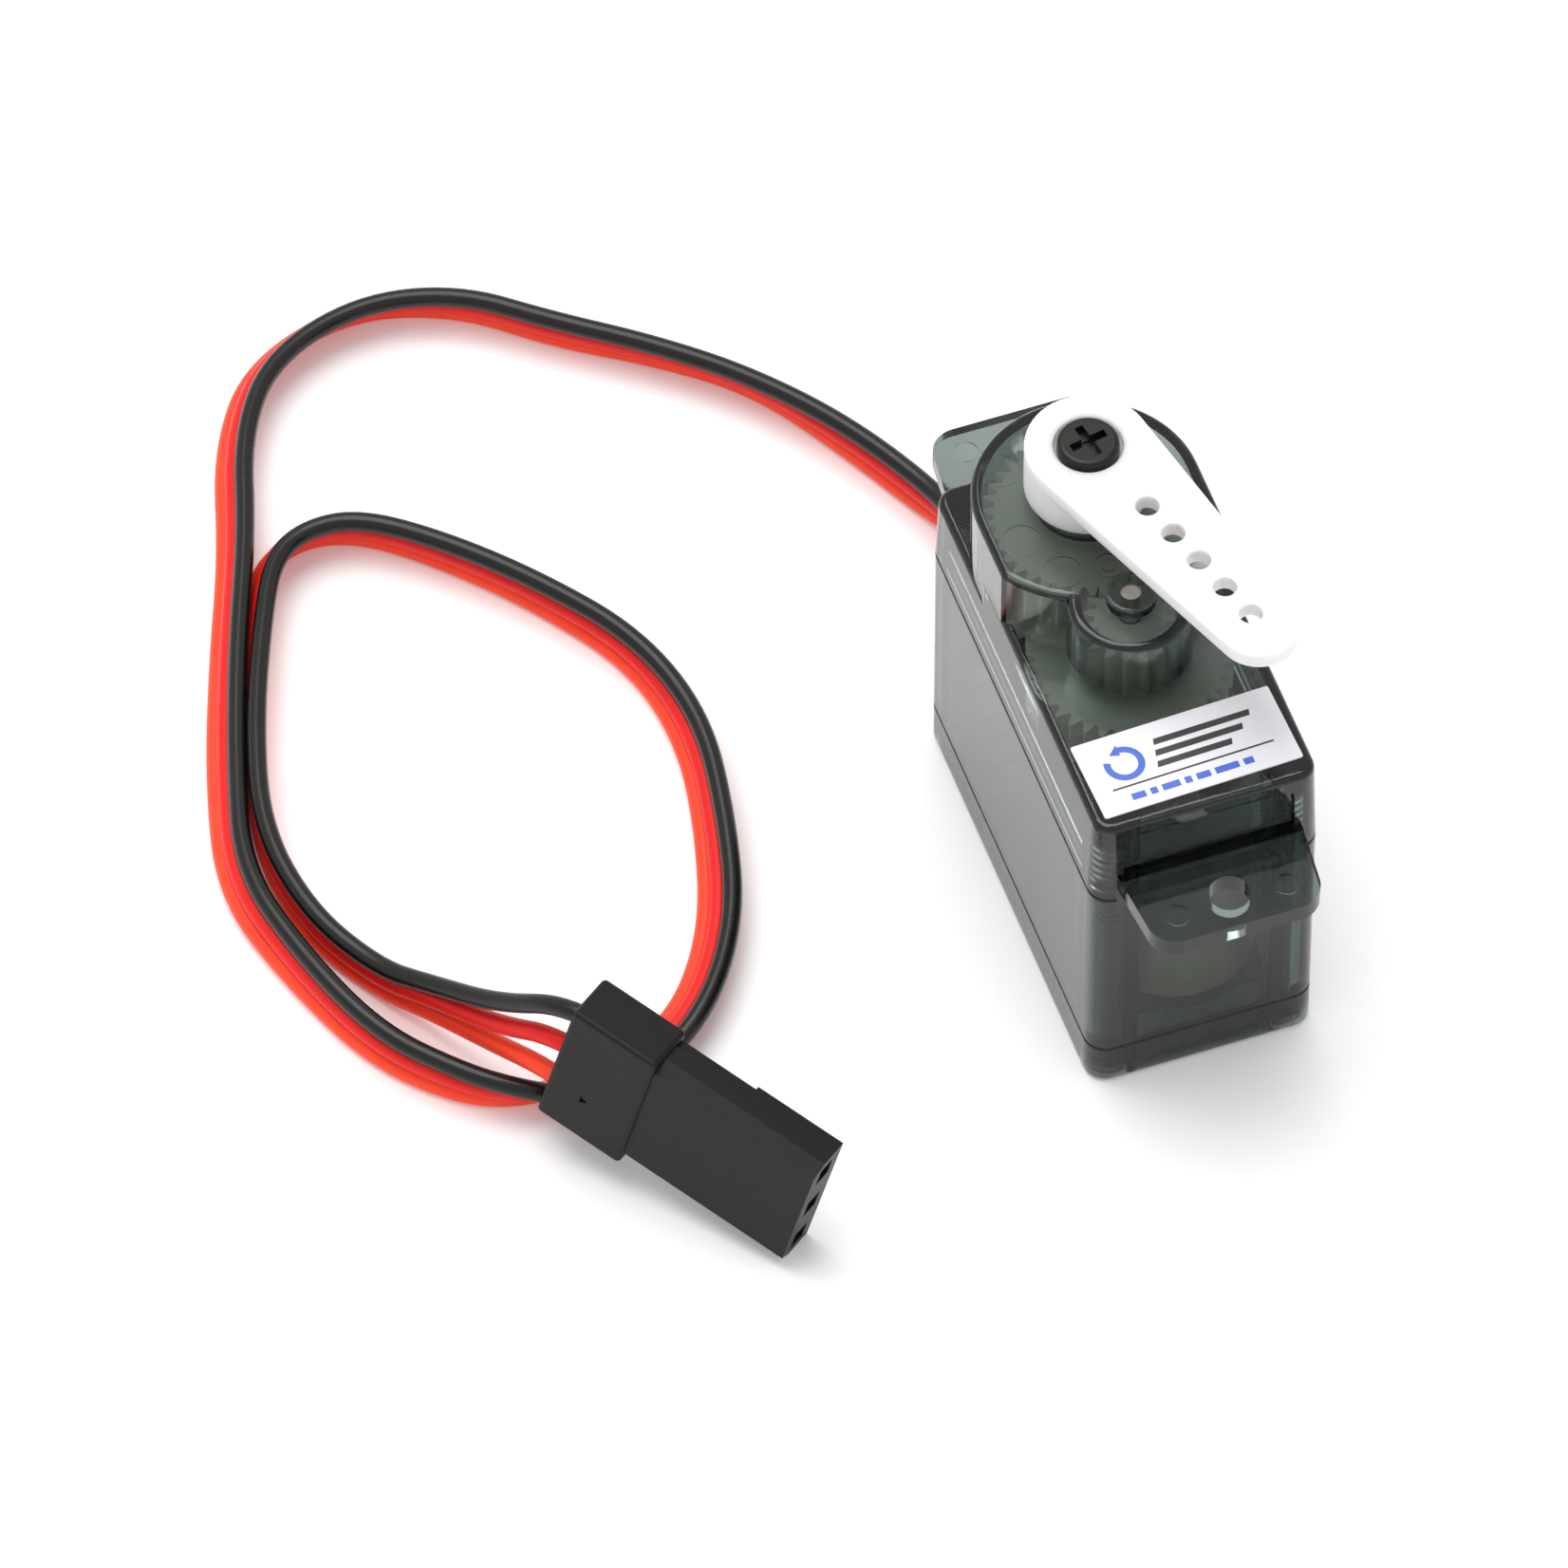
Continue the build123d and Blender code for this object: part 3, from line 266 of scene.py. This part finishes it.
def ribbon_points(side):
    """One wire's route points along the ribbon: side is 1, 0 or -1 for upper, middle and lower."""
    centres = [(x * MM, y * MM, z * MM, lean) for x, y, z, lean in RIBBON_EXIT]
    for x, y, lean in RIBBON_FLOOR:
        centres.append((x * MM, y * MM, WIRE_PITCH * (0.5 + math.sqrt(1 - lean * lean)), lean))
    points = []
    for index, (x, y, z, lean) in enumerate(centres):
        before = centres[max(index - 1, 0)]
        after = centres[min(index + 1, len(centres) - 1)]
        heading_in = math.atan2(y - before[1], x - before[0]) if index else 0.0
        is_last = index == len(centres) - 1
        heading_out = heading_in if is_last else math.atan2(after[1] - y, after[0] - x)
        turn = math.remainder(heading_out - heading_in, 2 * math.pi)
        heading = heading_in + turn / 2
        shift = side * WIRE_PITCH * lean / math.cos(turn / 2)
        rise = side * WIRE_PITCH * math.sqrt(1 - lean * lean)
        points.append(Vector((x - shift * math.sin(heading), y + shift * math.cos(heading), z + rise)))
    return points


def lead_wire(name):
    """One insulated wire as a smooth curve through the whole lead."""
    wire = WIRES[name]
    height = wire["side"] * CONTACT_PITCH
    points = [Vector((LEAD_START_X, wire["side"] * WIRE_PITCH, EXIT_Z))]
    points += ribbon_points(wire["side"])
    points += [Vector(point) * MM for point in wire["tail"]]
    points += [connector_place(-LEAD_IN, height), connector_place(WIRE_ENTRY_DEPTH, height)]
    curve = bpy.data.curves.new(name + "_curve", "CURVE")
    curve.dimensions = "3D"
    curve.bevel_depth = WIRE_DIAMETER / 2
    curve.bevel_resolution = 5
    curve.use_fill_caps = True
    spline = curve.splines.new("NURBS")
    spline.points.add(len(points) - 1)
    for target, point in zip(spline.points, points):
        target.co = (*point, 1.0)
    spline.order_u = 3
    spline.use_endpoint_u = True
    spline.resolution_u = 8
    piece = bpy.data.objects.new(name + "_insulation", curve)
    scene.collection.objects.link(piece)
    curve.materials.append(MATERIALS[name])
    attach(piece, "case")
    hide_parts(name)
    return piece


for wire_name, wire_facts in WIRES.items():
    lead = lead_wire(wire_name)


# --- the sticker's print ----------------------------------------------------------------------
def bar(left, right, low, high, slant=0.0):
    """A bar's outline, in millimetres along and up the sticker."""
    return [(left, low), (right, low), (right + slant, high), (left + slant, high)]


def turning_arrow(centre, inner, outer, start, stop):
    """A round arrow's outline, between two angles in degrees."""
    angles = [math.radians(start + (stop - start) * step / ARROW_STEPS) for step in range(ARROW_STEPS + 1)]
    middle = (inner + outer) / 2
    spread = (outer - inner) * 0.95
    rim = [(outer, angle) for angle in angles]
    rim += [(middle + spread, angles[-1]), (middle, angles[-1] + ARROW_HEAD), (middle - spread, angles[-1])]
    rim += [(inner, angle) for angle in reversed(angles)]
    return [(centre[0] + r * math.cos(t), centre[1] + r * math.sin(t)) for r, t in rim]


def sticker_print(colour, outlines):
    """Thin ink on the sticker, from outlines in millimetres from its middle."""
    low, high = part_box("label")
    middle = (low + high) / 2
    mesh = bpy.data.meshes.new("sticker_print_" + colour)
    build = bmesh.new()
    for outline in outlines:
        rings = []
        for z in (high.z, high.z + INK_THICKNESS):
            ring = []
            for along, up in outline:
                turned = Matrix.Rotation(LABEL_TURN, 2) @ Vector((up, -along))
                ring.append(build.verts.new((middle.x + turned.x * MM, middle.y + turned.y * MM, z)))
            rings.append(ring)
            build.faces.new(ring)
        for index in range(len(outline)):
            after = (index + 1) % len(outline)
            build.faces.new((rings[0][index], rings[0][after], rings[1][after], rings[1][index]))
    bmesh.ops.recalc_face_normals(build, faces=build.faces)
    build.to_mesh(mesh)
    build.free()
    piece = bpy.data.objects.new("sticker_print_" + colour, mesh)
    scene.collection.objects.link(piece)
    mesh.materials.append(PRINTS[colour])
    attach(piece, "case")


DASHES = [(-3.4, 0.7), (-2.45, 0.35), (-1.85, 0.9), (-0.7, 0.35), (-0.1, 0.7), (0.85, 1.2), (2.3, 0.5)]
sticker_print("blue", [turning_arrow((-3.0, 0.45), 0.66, 1.0, -200, 90)]
              + [bar(left, left + length, -1.72, -1.34) for left, length in DASHES])
sticker_print("dark", [bar(-1.3, 3.6, 0.95, 1.3, 0.1), bar(-1.45, 3.0, 0.3, 0.65, 0.1),
                       bar(-1.6, 2.2, -0.35, 0.0, 0.1), bar(-4.1, 4.1, -0.9, -0.8)])


# --- studio ---------------------------------------------------------------------------------
def studio_floor():
    """A wide pale floor that glows a little, like lit paper."""
    mesh = bpy.data.meshes.new("floor")
    corners = [(FLOOR_REACH * sx, FLOOR_REACH * sy, 0) for sx, sy in ((-1, -1), (1, -1), (1, 1), (-1, 1))]
    mesh.from_pydata(corners, [], [(0, 1, 2, 3)])
    floor = bpy.data.objects.new("floor", mesh)
    scene.collection.objects.link(floor)
    paper = surface("floor_paper", (0.90, 0.90, 0.90), 0.8, shift=0.002, grain=0.0)
    glow = paper.node_tree.nodes["Principled BSDF"]
    glow.inputs["Emission Color"].default_value = (1.0, 1.0, 1.0, 1.0)
    glow.inputs["Emission Strength"].default_value = FLOOR_GLOW
    mesh.materials.append(paper)


def softbox(name, place, aim, size, power):
    """A square area light that faces a point."""
    data = bpy.data.lights.new(name, "AREA")
    data.size = size
    data.energy = power
    light = bpy.data.objects.new(name, data)
    scene.collection.objects.link(light)
    light.location = place
    light.rotation_euler = (Vector(aim) - Vector(place)).to_track_quat("-Z", "Y").to_euler()


def studio_world(strength):
    """Even white light from all round."""
    world = bpy.data.worlds.new("studio")
    world.use_nodes = True
    world.node_tree.nodes["Background"].inputs["Color"].default_value = (1.0, 1.0, 1.0, 1.0)
    world.node_tree.nodes["Background"].inputs["Strength"].default_value = strength
    scene.world = world


def long_lens_camera():
    """A long lens from high on the motor end's left."""
    data = bpy.data.cameras.new("camera")
    data.lens = CAMERA_LENS
    data.sensor_width = SENSOR_WIDTH
    data.clip_start = CLIP_NEAR
    data.clip_end = CLIP_FAR
    camera = bpy.data.objects.new("camera", data)
    scene.collection.objects.link(camera)
    back = Vector((math.cos(CAMERA_ELEVATION) * math.cos(CAMERA_AZIMUTH),
                   math.cos(CAMERA_ELEVATION) * math.sin(CAMERA_AZIMUTH), math.sin(CAMERA_ELEVATION)))
    right = Vector((-math.sin(CAMERA_AZIMUTH), math.cos(CAMERA_AZIMUTH), 0.0))
    turn = Matrix((right, back.cross(right), back)).transposed()
    camera.matrix_world = Matrix.Translation(CAMERA_PLACE) @ turn.to_4x4()
    scene.camera = camera


studio_floor()
studio_world(WORLD_STRENGTH)
softbox("overhead", SOFTBOX_PLACE, SOFTBOX_AIM, SOFTBOX_SIZE, SOFTBOX_POWER)
long_lens_camera()
scene.view_settings.view_transform = "Standard"
scene.view_settings.look = "None"
